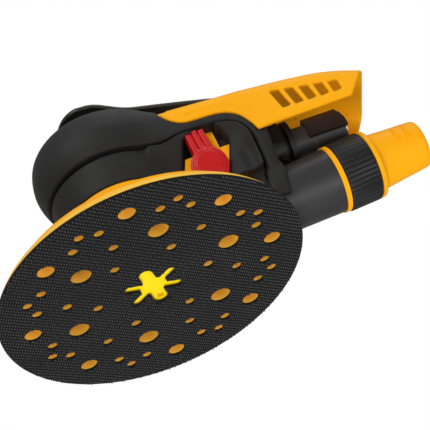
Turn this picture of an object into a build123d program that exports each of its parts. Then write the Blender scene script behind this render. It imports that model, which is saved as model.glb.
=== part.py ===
from build123d import *
import math
import os

# Air-powered random orbital sander with a 150 mm pad.
# Frame: the motor's axis is Z, the sanding plane is z = 0, +X runs back to the dust nozzle,
# and the speed lever is on the -Y side. The pad sits on an eccentric, so its own axis is ORBIT off.

# ---- driving dimensions, in millimetres ----
PAD_R = 75.0  # 150 mm pad
ORBIT = 2.5  # eccentric offset, a 5 mm orbit
HOOK_T = 1.6
FOAM_TOP = 9.2
FOAM_TOP_R = 68.4
PLATE_TOP = 12.2
PLATE_R = 66.0
HUB_R = 15.4
HUB_LOW = 2.2
STUD_PLATE_R = 9.0
STUD_PLATE_LOW = 8.2
LARGE_RINGS = ((60.0, 8, 40.0, 4.2), (41.0, 6, 40.0, 5.0))  # radius, count, first angle, hole radius
SMALL_HOLE_R = 2.4
SMALL_RINGS = ((27.6, 6, 55.0), (41.7, 6, 10.0), (56.0, 8, 10.0), (56.0, 8, 25.0), (61.0, 8, 17.5))
STAR_WIDE = (76.0, 256.0)  # directions of the star's arms
STAR_NARROW = (17.0, 137.0, 197.0, 320.0)
STAR_ARMS = [(angle, 3.4) for angle in STAR_WIDE] + [(angle, 2.1) for angle in STAR_NARROW]
STAR_R = 14.2

SHAFT_R = 6.0
SHAFT_TIP_R = 4.0
RUN_FIT = 0.02  # radial clearance of a running fit
SEAT_FIT = 0.01
BEARING_R = 14.0  # 12 x 28 x 8 ball bearing
BEARING_W = 8.0
TIP_BEARING_R = 11.0  # 8 x 22 x 7 ball bearing
TIP_BEARING_W = 7.0

STUD_R = 4.0
SPINDLE_FLANGE = (12.9, 16.6)  # bottom and top
SPINDLE_LOWER_Z = 18.2
SPINDLE_UPPER_Z = 27.0
BALANCER_Z = (17.2, 36.6)
BALANCER_R = 16.8
WEIGHT_R = 27.0
WEIGHT_LOW = 25.0

MOTOR_R = 24.2
LOCK_RING_Z = (37.2, 40.2)
FRONT_PLATE_Z = (40.4, 50.4)
CYLINDER_Z = (50.4, 72.4)
REAR_PLATE_Z = (72.4, 81.6)
CYLINDER_BORE_R = 19.6
CYLINDER_OFFSET = 1.6
ROTOR_R = 17.8
VANES = 5
SHAFT_END = 83.6

HOUSING_R = 27.4
HOUSING_Z = (37.0, 88.0)
NECK_W = 13.5  # half width of the housing's neck
NECK_Z = (46.0, 74.0)
NECK_END = 76.0

GROOVE_Z = (60.4, 62.0)  # dark groove between lower shell and palm grip
GRIP_TOP = 97.0
HEAD_PROFILE = (
    (32.9, 62.0),
    (35.4, 69.0),
    (36.2, 76.5),
    (33.8, 86.0),
    (26.5, 92.2),
    (14.0, 96.1),
    (0, GRIP_TOP),
)
SADDLE_W = 27.5
ARCH_X = 70.0
POST_END = 76.5
POST_LOW = 20.0

HOOD_WALL = 2.2
ROOF_CORNER = 8.0  # radius between the roof and the sides
ROOF_LINE = ((12.0, 83.8), (64.0, 80.4), (100.0, 78.9), (121.0, 76.2), (142.5, 69.0))  # x, z
SLOTS = 5  # air slots on each side of the hood
HOOD_FRONT = 31.0
HOOD_END = 133.5
HOOD_CORNER_X = 125.5
HOOD_END_W = 22.5

VALVE_X = 60.0
LEVER_PIN = (80.0, 83.3)  # x, z
LEVER_BOSS_R = 3.0
LEVER_T = 2.6
STEM_TOP = 90.4
SPEED_AXIS = (45.2, 41.8)  # x, z of the speed lever's axis

BRACKET_SIDE = ((36.0, 52.3), (58.8, 52.8), (52.2, 35.4), (46.0, 33.8), (33.4, 38.0), (33.4, 45.4))  # x, z

TUBE_TILT = 4.4  # degrees, up to the rear
TUBE_MID = (102.8, 26.0)  # x, z on the tube's axis, at the collar's front ring
TUBE_ROOT = 39.0  # distances along the axis, forward of that point
TUBE_FLOOR = 14.2  # the duct clears the pad above this height
TUBE_CLEAR_X = 74.0
COLLAR_R = 17.4
INLET_Z = 54.0
INLET_R = 8.0
INLET_END = 118.4
BUSHING_X = 106.2
KNURL_R = 12.6
KNURL_X = (88.2, 91.0)
CLAMP_X = (80.2, 86.6)

HEAD_CLEAR_R = 37.0
BARREL_CLEAR_R = 27.7
SHELL_W = 19.0
FOOT_R = 23.5
PIN_R = 1.5
SCREW_R = 1.5
HOOD_SCREW_X = 44.0
HOOD_SCREW_Y = 9.0
VALVE_BORE_R = 4.6
SPOOL_R = 3.6
SPEED_REST = 3.0  # degrees that the red handle leans forward at rest
SPEED_REACH = (20.2, 21.3, 20.6)  # lengths of the red handle's three ribs
LEVER_NOTCH_Z = 63.6  # the grip's lower edge above the red handle
PADDLE_R = 16.5
PADDLE_TIP = -15.5
STRAP_W = 9.0
TUBE_R = (15.5, 16.3)
TUBE_BORE_R = 13.0
NECK_THREAD_R = 14.2
TUBE_RING = (-2.0, 0.4)
COLLAR = (0.7, 17.2)
NOZZLE_NECK_R = 12.92
NOZZLE_R = (14.3, 12.0)
NOZZLE_BORE_R = 10.4
NOZZLE_END = 46.5
THREAD_R = 6.2
CLAMP_SCREW = (83.6, 43.8)  # x, z
CLAMP_SCREW_R = 1.0

tube_axis = Plane(
    origin=(TUBE_MID[0], 0, TUBE_MID[1]),
    x_dir=(0, 1, 0),
    z_dir=(math.cos(math.radians(TUBE_TILT)), 0, math.sin(math.radians(TUBE_TILT))),
)
pad_axis = Plane(origin=(0, -ORBIT, 0))
inlet_axis = Plane(origin=(0, 0, INLET_Z), x_dir=(0, 1, 0), z_dir=(1, 0, 0))
side_plane = Plane(origin=(0, 0, 0), x_dir=(1, 0, 0), z_dir=(0, -1, 0))

os.makedirs("parts", exist_ok=True)


def write(piece, name):
    """Labels a finished piece and writes its STEP file."""
    piece.part.label = name
    export_step(piece.part, "parts/" + name + ".step")


def ring(plane, low, high, inner, outer):
    """A plain tube between two heights above a plane."""
    with BuildPart() as body:
        with BuildSketch(plane.offset(low)):
            Circle(outer)
            Circle(inner, mode=Mode.SUBTRACT)
        extrude(amount=high - low)
    return body


# ---------------------------------------------------------------- pad


def pad_holes(sketch_plane, depth):
    """All dust holes of the pad, as one tool to cut with."""
    with BuildPart() as holes:
        with BuildSketch(sketch_plane):
            for radius, count, first, hole in LARGE_RINGS:
                with PolarLocations(radius, count, start_angle=first):
                    Circle(hole)
            for radius, count, first in SMALL_RINGS:
                with PolarLocations(radius, count, start_angle=first):
                    Circle(SMALL_HOLE_R)
        extrude(amount=depth)
    return holes.part


def hook_face():
    with BuildPart() as face:
        with BuildSketch(pad_axis):
            Circle(PAD_R)
        extrude(amount=HOOK_T)
        add(pad_holes(pad_axis, HOOK_T), mode=Mode.SUBTRACT)
        with BuildSketch(pad_axis):
            Circle(6.6)
            for angle, half in STAR_ARMS:
                with Locations(Rotation(0, 0, angle)):
                    with Locations((STAR_R / 2, 0)):
                        SlotOverall(STAR_R, 2 * half)
        extrude(amount=HOOK_T, mode=Mode.SUBTRACT)
    write(face, "hook_face")


def pad_foam():
    with BuildPart() as foam:
        with BuildSketch(pad_axis.offset(HOOK_T)):
            Circle(PAD_R - 0.2)
        with BuildSketch(pad_axis.offset(FOAM_TOP)):
            Circle(FOAM_TOP_R)
        loft()
        add(pad_holes(pad_axis.offset(HOOK_T), FOAM_TOP), mode=Mode.SUBTRACT)
        with BuildSketch(pad_axis.offset(HOOK_T)):
            Circle(HUB_R)
        extrude(amount=FOAM_TOP - HOOK_T, mode=Mode.SUBTRACT)
    write(foam, "pad_foam")


def backing_plate():
    with BuildPart() as plate:
        with BuildSketch(pad_axis.offset(FOAM_TOP)):
            Circle(PLATE_R)
        extrude(amount=PLATE_TOP - FOAM_TOP)
        add(pad_holes(pad_axis.offset(FOAM_TOP), PLATE_TOP), mode=Mode.SUBTRACT)
        with BuildSketch(pad_axis.offset(FOAM_TOP)):
            Circle(STUD_PLATE_R)
        extrude(amount=PLATE_TOP, mode=Mode.SUBTRACT)
    write(plate, "backing_plate")
    with BuildPart() as hub:
        with BuildSketch(pad_axis.offset(HUB_LOW)):
            Circle(HUB_R)
        extrude(amount=FOAM_TOP - HUB_LOW)
        with BuildSketch(pad_axis.offset(STUD_PLATE_LOW)):
            Circle(STUD_PLATE_R)
        extrude(amount=PLATE_TOP, mode=Mode.SUBTRACT)
        with BuildSketch(pad_axis.offset(HUB_LOW)):
            with Locations((2.6, 10.8)):
                Rectangle(3.0, 3.0)
        extrude(amount=3.0, mode=Mode.SUBTRACT)
    write(hub, "star_hub")


def pad_stud():
    with BuildPart() as stud:
        with BuildSketch(pad_axis.offset(STUD_PLATE_LOW)):
            Circle(STUD_PLATE_R)
        extrude(amount=PLATE_TOP - STUD_PLATE_LOW)
        with BuildSketch(pad_axis.offset(PLATE_TOP)):
            Circle(STUD_R)
        extrude(amount=10.6)
        chamfer(stud.edges().sort_by(Axis.Z)[-1], length=0.6)
    write(stud, "pad_stud")


def pad_spindle():
    write(ring(pad_axis, PLATE_TOP, SPINDLE_FLANGE[0], STUD_R + RUN_FIT, 11.0), "spindle_spacer")
    with BuildPart() as spindle:
        with BuildSketch(pad_axis.offset(SPINDLE_FLANGE[0])):
            RegularPolygon(11.0, 6, major_radius=False)
        extrude(amount=SPINDLE_FLANGE[1] - SPINDLE_FLANGE[0])
        with BuildSketch(pad_axis.offset(SPINDLE_FLANGE[1])):
            Circle(SHAFT_R)
        extrude(amount=SPINDLE_UPPER_Z - 0.4 - SPINDLE_FLANGE[1])
        with BuildSketch(pad_axis.offset(SPINDLE_UPPER_Z - 0.4)):
            Circle(SHAFT_TIP_R)
        extrude(amount=TIP_BEARING_W + 0.2)
        with BuildSketch(pad_axis.offset(SPINDLE_FLANGE[0])):
            Circle(STUD_R + RUN_FIT)
        extrude(amount=10.8, mode=Mode.SUBTRACT)
    write(spindle, "pad_spindle")


# ---------------------------------------------------------------- bearings


def ball_bearing(name, plane, low, bore, outer, width, balls):
    """Outer ring, inner ring, balls and two shields, as separate solids of one node."""
    span = outer - bore
    race = 0.24 * span
    pitch = (outer + bore) / 2
    ball = (span - 2 * race) / 2 - 0.05
    shield = 0.4
    with BuildPart() as bearing:
        with BuildSketch(plane.offset(low)):
            Circle(outer - SEAT_FIT)
            Circle(outer - race, mode=Mode.SUBTRACT)
            Circle(bore + race)
            Circle(bore + RUN_FIT, mode=Mode.SUBTRACT)
        extrude(amount=width)
        for height in (low + 0.3, low + width - 0.3 - shield):
            with BuildSketch(plane.offset(height)):
                Circle(outer - race - 0.05)
                Circle(bore + race + 0.05, mode=Mode.SUBTRACT)
            extrude(amount=shield)
        with Locations(plane.offset(low + width / 2)):
            with PolarLocations(pitch, balls):
                Sphere(ball)
    write(bearing, name)


def bearings():
    centre = Plane.XY
    ball_bearing("spindle_bearing_lower", pad_axis, SPINDLE_LOWER_Z, SHAFT_R, BEARING_R, BEARING_W, 8)
    tip = (SHAFT_TIP_R, TIP_BEARING_R, TIP_BEARING_W, 7)
    ball_bearing("spindle_bearing_upper", pad_axis, SPINDLE_UPPER_Z, *tip)
    ball_bearing("front_bearing", centre, FRONT_PLATE_Z[0], SHAFT_R, BEARING_R, BEARING_W, 8)
    ball_bearing("rear_bearing", centre, REAR_PLATE_Z[0] + 2.1, *tip)


# ---------------------------------------------------------------- eccentric and rotor


def balancer_shaft():
    with BuildPart() as shaft:
        with BuildSketch(pad_axis.offset(BALANCER_Z[0])):
            Circle(BALANCER_R)
        extrude(amount=BALANCER_Z[1] - BALANCER_Z[0])
        with BuildSketch(Plane.XY.offset(WEIGHT_LOW)):
            Circle(WEIGHT_R)
            with Locations((0, -WEIGHT_R)):
                Rectangle(2 * WEIGHT_R, 2 * WEIGHT_R, mode=Mode.SUBTRACT)
        extrude(amount=BALANCER_Z[1] - WEIGHT_LOW)
        with BuildSketch(pad_axis.offset(BALANCER_Z[0])):
            Circle(BEARING_R)
        extrude(amount=SPINDLE_LOWER_Z + BEARING_W + 0.2 - BALANCER_Z[0], mode=Mode.SUBTRACT)
        with BuildSketch(pad_axis.offset(SPINDLE_LOWER_Z + BEARING_W)):
            Circle(TIP_BEARING_R)
        bore_top = SPINDLE_UPPER_Z + TIP_BEARING_W + 0.3
        extrude(amount=bore_top - SPINDLE_LOWER_Z - BEARING_W, mode=Mode.SUBTRACT)
        with BuildSketch(Plane.XY.offset(BALANCER_Z[1])):
            Circle(SHAFT_R)
        extrude(amount=CYLINDER_Z[1] - BALANCER_Z[1])
        with BuildSketch(Plane.XY.offset(CYLINDER_Z[1])):
            Circle(SHAFT_TIP_R)
        extrude(amount=SHAFT_END - CYLINDER_Z[1])
        with BuildSketch(Plane.XY.offset(REAR_PLATE_Z[1] + 0.2)):
            Circle(SHAFT_TIP_R)
            Circle(3.4, mode=Mode.SUBTRACT)
        extrude(amount=1.0, mode=Mode.SUBTRACT)
        with Locations((SHAFT_R, 0, 61.0)):
            Box(3.0, 2.6, 12.0, mode=Mode.SUBTRACT)
    write(shaft, "balancer_shaft")
    retainer_top = SPINDLE_LOWER_Z - 0.1
    write(ring(pad_axis, BALANCER_Z[0], retainer_top, 12.0, BEARING_R - SEAT_FIT), "spindle_retainer")
    write(ring(Plane.XY, REAR_PLATE_Z[1] + 0.25, REAR_PLATE_Z[1] + 1.15, 3.5, 6.4), "shaft_snap_ring")


def motor_rotor():
    low = CYLINDER_Z[0] + 0.2
    length = CYLINDER_Z[1] - CYLINDER_Z[0] - 0.4
    slot_floor = 9.6
    slot = 1.7
    with BuildPart() as rotor:
        with BuildSketch(Plane.XY.offset(low)):
            Circle(ROTOR_R)
            Circle(SHAFT_R, mode=Mode.SUBTRACT)
            with PolarLocations((slot_floor + ROTOR_R + 1) / 2, VANES, start_angle=36):
                Rectangle(ROTOR_R + 1 - slot_floor, slot, mode=Mode.SUBTRACT)
        extrude(amount=length)
        with Locations((SHAFT_R, 0, 61.0)):
            Box(3.0, 2.6, 12.0, mode=Mode.SUBTRACT)
    write(rotor, "motor_rotor")
    with BuildPart() as vanes:
        with BuildSketch(Plane.XY.offset(low)):
            with PolarLocations((slot_floor + 0.2 + ROTOR_R - 0.1) / 2, VANES, start_angle=36):
                Rectangle(ROTOR_R - 0.3 - slot_floor, slot - 0.2)
        extrude(amount=length)
    write(vanes, "rotor_vanes")
    with BuildPart() as key:
        with Locations((SHAFT_R, 0, 61.0)):
            Box(2.8, 2.4, 11.8)
    write(key, "rotor_key")


# ---------------------------------------------------------------- motor


def motor_plates():
    with BuildPart() as front:
        with BuildSketch(Plane.XY.offset(FRONT_PLATE_Z[0])):
            Circle(MOTOR_R)
            Circle(BEARING_R, mode=Mode.SUBTRACT)
        extrude(amount=BEARING_W)
        with BuildSketch(Plane.XY.offset(FRONT_PLATE_Z[0] + BEARING_W)):
            Circle(MOTOR_R)
            Circle(SHAFT_R + 0.6, mode=Mode.SUBTRACT)
        extrude(amount=FRONT_PLATE_Z[1] - FRONT_PLATE_Z[0] - BEARING_W)
    write(front, "front_endplate")
    with BuildPart() as rear:
        with BuildSketch(Plane.XY.offset(REAR_PLATE_Z[0])):
            Circle(MOTOR_R)
            Circle(SHAFT_TIP_R + 0.6, mode=Mode.SUBTRACT)
        extrude(amount=2.0)
        with BuildSketch(Plane.XY.offset(REAR_PLATE_Z[0] + 2.0)):
            Circle(MOTOR_R)
            Circle(TIP_BEARING_R, mode=Mode.SUBTRACT)
        extrude(amount=REAR_PLATE_Z[1] - REAR_PLATE_Z[0] - 2.0)
    write(rear, "rear_endplate")


def motor_cylinder():
    dowel = (-22.4, 0)
    with BuildPart() as cylinder:
        with BuildSketch(Plane.XY.offset(CYLINDER_Z[0])):
            Circle(MOTOR_R)
            with Locations((0, CYLINDER_OFFSET)):
                Circle(CYLINDER_BORE_R, mode=Mode.SUBTRACT)
            with Locations(dowel):
                Circle(1.0, mode=Mode.SUBTRACT)
        extrude(amount=CYLINDER_Z[1] - CYLINDER_Z[0])
        with BuildSketch(Plane(origin=(15.0, 6.0, 62.0), x_dir=(0, 1, 0), z_dir=(1, 0, 0))):
            Circle(3.0)
        extrude(amount=12.0, mode=Mode.SUBTRACT)
    write(cylinder, "motor_cylinder")
    with BuildPart() as pin:
        with BuildSketch(Plane.XY.offset(CYLINDER_Z[0])):
            with Locations(dowel):
                Circle(1.0)
        extrude(amount=CYLINDER_Z[1] - CYLINDER_Z[0])
    write(pin, "cylinder_dowel")
    write(ring(Plane.XY, LOCK_RING_Z[0], LOCK_RING_Z[1], 12.4, MOTOR_R), "motor_lock_ring")
    write(ring(Plane.XY, REAR_PLATE_Z[1], REAR_PLATE_Z[1] + 1.0, 15.0, MOTOR_R), "wave_washer")


# ---------------------------------------------------------------- casings


def block_between(side, plan):
    """What two outlines share: one seen from the side and one seen from above."""
    with BuildPart() as block:
        extrude(side, amount=45.0, both=True)
        extrude(plan, amount=120.0, both=True, mode=Mode.INTERSECT)
    return block.part


def box_between(low, high):
    """A box given by two opposite corners."""
    size = [b - a for a, b in zip(low, high)]
    centre = tuple((a + b) / 2 for a, b in zip(low, high))
    with BuildPart() as block:
        with Locations(centre):
            Box(*size)
    return block.part


def round_roof(block, radius):
    """Rounds the two long edges where a block's roof meets its sides."""
    with BuildPart() as rounded:
        add(block)
        edges = rounded.edges().filter_by(lambda e: e.length > 4)
        edges = edges.filter_by(lambda e: e.center().Z > 70 and abs(e.center().Y) > 20)
        fillet(edges, radius=radius)
    return rounded.part


def tapered_plan(inset):
    """The plan of saddle and hood, wide at the front and narrower towards the rear."""
    width = SADDLE_W - inset
    end = HOOD_END_W - inset
    rear = ROOF_LINE[-1][0]
    with BuildSketch(Plane.XY) as plan:
        with BuildLine():
            Polyline((0, -width), (72.0, -width), (rear, -end))
            Polyline((rear, -end), (rear, end), (72.0, width), (0, width), (0, -width))
        make_face()
    return plan.sketch


def roof_side(rear, low, inset):
    """Everything under the roof line that hood and saddle share, as a side outline."""
    roof = [(x, z - inset) for x, z in ROOF_LINE]
    front = roof[0][0]
    with BuildSketch(side_plane) as outline:
        with BuildLine():
            Spline(*roof)
            Polyline(roof[-1], (roof[-1][0], low), (front, low), roof[0])
        make_face()
        with Locations(((front + rear) / 2, 60.0)):
            Rectangle(rear - front, 100.0, mode=Mode.INTERSECT)
    return outline.sketch


def hood_edge():
    """The hood's side with the wave of its lower edge and its slanted rear, open upwards."""
    wave = [(73.5, 50.3), (70.9, 57.2), (67.4, 62.8), (62.0, 66.4)]
    wave += [(55.0, 67.8), (42.0, 68.6), (35.0, 73.4), (31.8, 79.0)]
    with BuildSketch(side_plane) as outline:
        with BuildLine():
            Polyline((HOOD_FRONT, 100.0), (HOOD_END + 18.5, 100.0), (HOOD_CORNER_X, 55.0), wave[0])
            Spline(*wave)
            Polyline(wave[-1], (HOOD_FRONT, 84.0), (HOOD_FRONT, 100.0))
        make_face()
    return outline.sketch


def slot_outline(index):
    """One slanted air slot of the hood, shorter towards the rear."""
    front = 86.6 + 7.35 * index
    lean = 2.9 - 0.6 * index
    top = 70.6 - 1.05 * index
    low = 58.6 + 0.35 * index
    with BuildSketch(side_plane) as outline:
        with BuildLine():
            Polyline((front, top), (front + 4.4, top - 0.3), (front + 4.2 + lean, low))
            Polyline((front + 4.2 + lean, low), (front + lean, low - 0.6), (front, top))
        make_face()
    return outline.sketch


def saddle_block(rear, low, inset, corner):
    """The filled form of hood and saddle, rounded where roof and sides meet."""
    return round_roof(block_between(roof_side(rear, low, inset), tapered_plan(inset)), corner)


def hood():
    with BuildPart() as cover:
        add(saddle_block(ROOF_LINE[-1][0], 40.0, 0, ROOF_CORNER))
        extrude(hood_edge(), amount=45.0, both=True, mode=Mode.INTERSECT)
        add(saddle_block(ROOF_LINE[-1][0], 30.0, HOOD_WALL, ROOF_CORNER - HOOD_WALL), mode=Mode.SUBTRACT)
        with BuildSketch(Plane.XY.offset(70.0)):
            Circle(HEAD_CLEAR_R)
        extrude(amount=30.0, mode=Mode.SUBTRACT)
        for index in range(SLOTS):
            extrude(slot_outline(index), amount=45.0, both=True, mode=Mode.SUBTRACT)
        with Locations((101.8, 9.7, 76.6), (127.6, 13.9, 71.6), (128.2, -2.5, 71.4)):
            Cylinder(0.8, 3.0, mode=Mode.SUBTRACT)
        for side in (-1, 1):
            with BuildSketch(side_plane.offset(side * 11.4 - 1.8)):
                with Locations(LEVER_PIN):
                    Circle(2.7)
                with Locations((LEVER_PIN[0], LEVER_PIN[1] - 2.8)):
                    Rectangle(5.4, 5.6)
            extrude(amount=3.6)
        with BuildSketch(side_plane):
            with Locations(LEVER_PIN):
                Circle(PIN_R)
        extrude(amount=20.0, both=True, mode=Mode.SUBTRACT)
        with Locations((VALVE_X, 0, 80.0)):
            Cylinder(2.4, 12.0, mode=Mode.SUBTRACT)
        with Locations(*hood_screw_places()):
            Cylinder(SCREW_R, 60.0, mode=Mode.SUBTRACT)
    write(cover, "hood")
    return cover.part


def hood_screw_places():
    return [(HOOD_SCREW_X, HOOD_SCREW_Y, 84.0), (HOOD_SCREW_X, -HOOD_SCREW_Y, 84.0)]


def hood_screws():
    with BuildPart() as screws:
        with Locations(*[(x, y, 0) for x, y, z in hood_screw_places()]):
            with Locations((0, 0, 75.0)):
                Cylinder(SCREW_R, 14.0)
            with Locations((0, 0, 82.3)):
                Cylinder(2.9, 2.2)
            with Locations((0, 0, 83.1)):
                Box(4.6, 0.7, 1.0, mode=Mode.SUBTRACT)
    write(screws, "hood_screws")


def head_outline():
    """The palm grip's head, as a half section in X and Z."""
    with BuildSketch(Plane.XZ) as outline:
        with BuildLine():
            Polyline((0, 88.3), (BARREL_CLEAR_R, 88.3), (BARREL_CLEAR_R, GROOVE_Z[1]), HEAD_PROFILE[0])
            Spline(*HEAD_PROFILE, tangents=[(0.45, 1), (-1, 0)])
            Line((0, GRIP_TOP), (0, 88.3))
        make_face()
    return outline.sketch


def palm_grip(cover):
    low = GROOVE_Z[1]
    post = SADDLE_W - 0.5
    with BuildSketch(side_plane) as arch:
        with BuildLine():
            Polyline((55.0, low), (-10.0, low), (-10.0, 0), (ARCH_X, 0), (ARCH_X, low - 15.0))
            ThreePointArc((ARCH_X, low - 15.0), (66.0, low - 4.0), (55.0, low))
        make_face()
    with BuildPart() as grip:
        add(saddle_block(POST_END, low - 20.0, 0, ROOF_CORNER))
        extrude(arch.sketch, amount=45.0, both=True, mode=Mode.SUBTRACT)
        with BuildSketch(Plane(origin=(ARCH_X - 0.4, 0, 0), x_dir=(0, 1, 0), z_dir=(1, 0, 0))):
            with Locations((0, 24.0)):
                Circle(FOOT_R)
            with BuildLine():
                Polyline((-post, 60.0), (-FOOT_R, 27.0), (FOOT_R, 27.0), (post, 60.0), (-post, 60.0))
            make_face()
        extrude(amount=POST_END - ARCH_X + 0.4)
        revolve(head_outline(), axis=Axis.Z)
        with BuildSketch(Plane.XY):
            Circle(BARREL_CLEAR_R)
        extrude(amount=88.3, mode=Mode.SUBTRACT)
        add(box_between((0, -NECK_W - 0.2, 41.0), (90, NECK_W + 0.2, 74.3)), mode=Mode.SUBTRACT)
        add(box_between((0, -SHELL_W - 0.2, 20.0), (ARCH_X - 0.4, SHELL_W + 0.2, 66.4)), mode=Mode.SUBTRACT)
        add(box_between((60, -45, 0), (90, 45, POST_LOW)), mode=Mode.SUBTRACT)
        add(box_between((37.0, -45, 50.0), (53.0, 0, LEVER_NOTCH_Z)), mode=Mode.SUBTRACT)
        add(tube_solid(17.0, 17.0, -60.0, 0), mode=Mode.SUBTRACT)
        add(cover, mode=Mode.SUBTRACT)
        with Locations((VALVE_X, 0, 80.0)):
            Cylinder(2.4, 20.0, mode=Mode.SUBTRACT)
        with Locations(*hood_screw_places()):
            Cylinder(SCREW_R, 60.0, mode=Mode.SUBTRACT)
    write(grip, "palm_grip")
    return grip.part


def lower_shell(grip):
    low = 44.0
    top = GROOVE_Z[1] - 0.1
    wall = 2.2
    with BuildPart() as shell:
        with BuildSketch(Plane.XZ):
            with BuildLine():
                Polyline((BARREL_CLEAR_R, low), (30.3, low), (31.8, GROOVE_Z[0]), (30.2, GROOVE_Z[0]))
                Polyline((30.2, GROOVE_Z[0]), (30.2, top), (BARREL_CLEAR_R, top), (BARREL_CLEAR_R, low))
            make_face()
        revolve(axis=Axis.Z)
        add(box_between((22, -SHELL_W, 33.0), (ARCH_X - 0.6, SHELL_W, 66.0)))
        for side in (-1, 1):
            with BuildSketch(Plane.XY.offset(40.0)):
                with BuildLine():
                    Polyline((61.0, side * 17.0), (ARCH_X - 0.6, side * 17.0), (ARCH_X - 0.6, side * 24.6))
                    ThreePointArc((ARCH_X - 0.6, side * 24.6), (67.0, side * 20.8), (61.0, side * 17.0))
                make_face()
            extrude(amount=GROOVE_Z[1] - 0.2 - 40.0)
        with BuildSketch(Plane.XY):
            Circle(BARREL_CLEAR_R)
        extrude(amount=88.3, mode=Mode.SUBTRACT)
        inner = SHELL_W - wall
        add(box_between((0, -inner, 20.0), (ARCH_X - 3.0, inner, 70.0)), mode=Mode.SUBTRACT)
        add(box_between((60, -NECK_W - 0.2, NECK_Z[0] - 0.2), (80, NECK_W + 0.2, 70.0)), mode=Mode.SUBTRACT)
        add(tube_solid(TUBE_R[1], TUBE_R[1], -50.0, -20.0), mode=Mode.SUBTRACT)
        add(box_between((32.8, -40, 20.0), (59.6, 0, 70.0)), mode=Mode.SUBTRACT)
        add(skirt_block(), mode=Mode.SUBTRACT)
        add(grip, mode=Mode.SUBTRACT)
    write(shell, "lower_shell")


def motor_housing():
    with BuildPart() as housing:
        with BuildSketch(Plane.XY.offset(HOUSING_Z[0])):
            Circle(HOUSING_R)
        extrude(amount=HOUSING_Z[1] - HOUSING_Z[0])
        add(box_between((20, -NECK_W, NECK_Z[0]), (NECK_END, NECK_W, NECK_Z[1])))
        with BuildSketch(side_plane.offset(8.0)):
            Polygon(*BRACKET_SIDE, align=None)
        extrude(amount=SHELL_W + 0.1 - 8.0)
        add(box_between((44.6, -SHELL_W - 0.1, 50.0), (53.8, -8.0, 64.8)))
        with BuildSketch(Plane.XY.offset(HOUSING_Z[0])):
            Circle(MOTOR_R)
        extrude(amount=REAR_PLATE_Z[1] + 1.0 - HOUSING_Z[0], mode=Mode.SUBTRACT)
        with BuildSketch(Plane.XY.offset(80.0)):
            Circle(14.0)
        extrude(amount=5.5, mode=Mode.SUBTRACT)
        with Locations((VALVE_X, 0, 61.0)):
            Cylinder(VALVE_BORE_R, 28.0, mode=Mode.SUBTRACT)
        with BuildSketch(inlet_axis.offset(VALVE_X)):
            Circle(5.0)
        extrude(amount=30.0, mode=Mode.SUBTRACT)
        with BuildSketch(Plane(origin=(20.0, 0, 65.0), x_dir=(0, 1, 0), z_dir=(1, 0, 0))):
            Circle(3.2)
        extrude(amount=VALVE_X - 20.0, mode=Mode.SUBTRACT)
        with BuildSketch(side_plane):
            with Locations(SPEED_AXIS):
                Circle(SPOOL_R + RUN_FIT)
        extrude(amount=40.0, mode=Mode.SUBTRACT)
        with Locations(*hood_screw_places()):
            Cylinder(SCREW_R, 36.0, mode=Mode.SUBTRACT)
    write(housing, "motor_housing")


def skirt_block():
    """The shroud's outer form, filled."""
    with BuildPart() as block:
        with BuildSketch(Plane.XZ):
            with BuildLine():
                Polyline((0, 14.2), (50.0, 14.2), (50.0, 17.5), (33.0, 35.5), (29.8, 39.5), (29.8, 43.6))
                Polyline((29.8, 43.6), (0, 43.6), (0, 14.2))
            make_face()
        revolve(axis=Axis.Z)
    return block.part


def shroud():
    neck = BARREL_CLEAR_R - 0.1
    duct_end = -TUBE_ROOT
    with BuildPart() as skirt:
        add(skirt_block())
        add(duct_solid(13.4, -74.0, duct_end, TUBE_FLOOR))
        with BuildSketch(Plane.XZ):
            with BuildLine():
                Polyline((0, 14.0), (47.6, 14.0), (47.6, 16.6), (30.6, 34.6), (neck, 36.8))
                Polyline((neck, 36.8), (neck, 43.8), (0, 43.8), (0, 14.0))
            make_face()
        revolve(axis=Axis.Z, mode=Mode.SUBTRACT)
        add(duct_solid(11.4, -74.0, duct_end + 1, TUBE_FLOOR + 2.0), mode=Mode.SUBTRACT)
    write(skirt, "shroud")
    write(ring(Plane.XY, PLATE_TOP + 0.5, 14.2, 46.4, 50.0), "brake_seal")


def tube_solid(root_r, end_r, start, end):
    """A round bar along the dust tube's axis, between two distances from its ring."""
    with BuildPart() as bar:
        with BuildSketch(tube_axis.offset(start)):
            Circle(root_r)
        with BuildSketch(tube_axis.offset(end)):
            Circle(end_r)
        loft()
    return bar.part


def duct_solid(radius, start, end, floor):
    """The round bar, cut flat underneath where it passes over the pad."""
    with BuildPart() as bar:
        add(tube_solid(radius, radius, start, end))
        add(box_between((-80, -40, -30), (TUBE_CLEAR_X, 40, floor)), mode=Mode.SUBTRACT)
    return bar.part


# ---------------------------------------------------------------- dust outlet


def tube_cavity(wall):
    """The dust tube's own hollow, flat underneath like its outside."""
    with BuildPart() as cavity:
        add(tube_solid(TUBE_R[0] - wall, TUBE_BORE_R, -TUBE_ROOT - 1.0, -12.0))
        add(box_between((0, -40, -30), (TUBE_CLEAR_X + wall, 40, TUBE_FLOOR + wall)), mode=Mode.SUBTRACT)
    return cavity.part


def dust_tube():
    wall = 2.0
    with BuildPart() as tube:
        add(tube_solid(TUBE_R[0], TUBE_R[1], -TUBE_ROOT, -2.0))
        add(box_between((0, -40, -30), (TUBE_CLEAR_X, 40, TUBE_FLOOR)), mode=Mode.SUBTRACT)
        add(tube_solid(NECK_THREAD_R, NECK_THREAD_R, -3.0, 12.0))
        add(tube_cavity(wall), mode=Mode.SUBTRACT)
        add(tube_solid(TUBE_BORE_R, TUBE_BORE_R, -13.0, 13.0), mode=Mode.SUBTRACT)
    write(tube, "dust_tube")
    write(ring(tube_axis, *TUBE_RING, NECK_THREAD_R, 16.9), "tube_ring")


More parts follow.
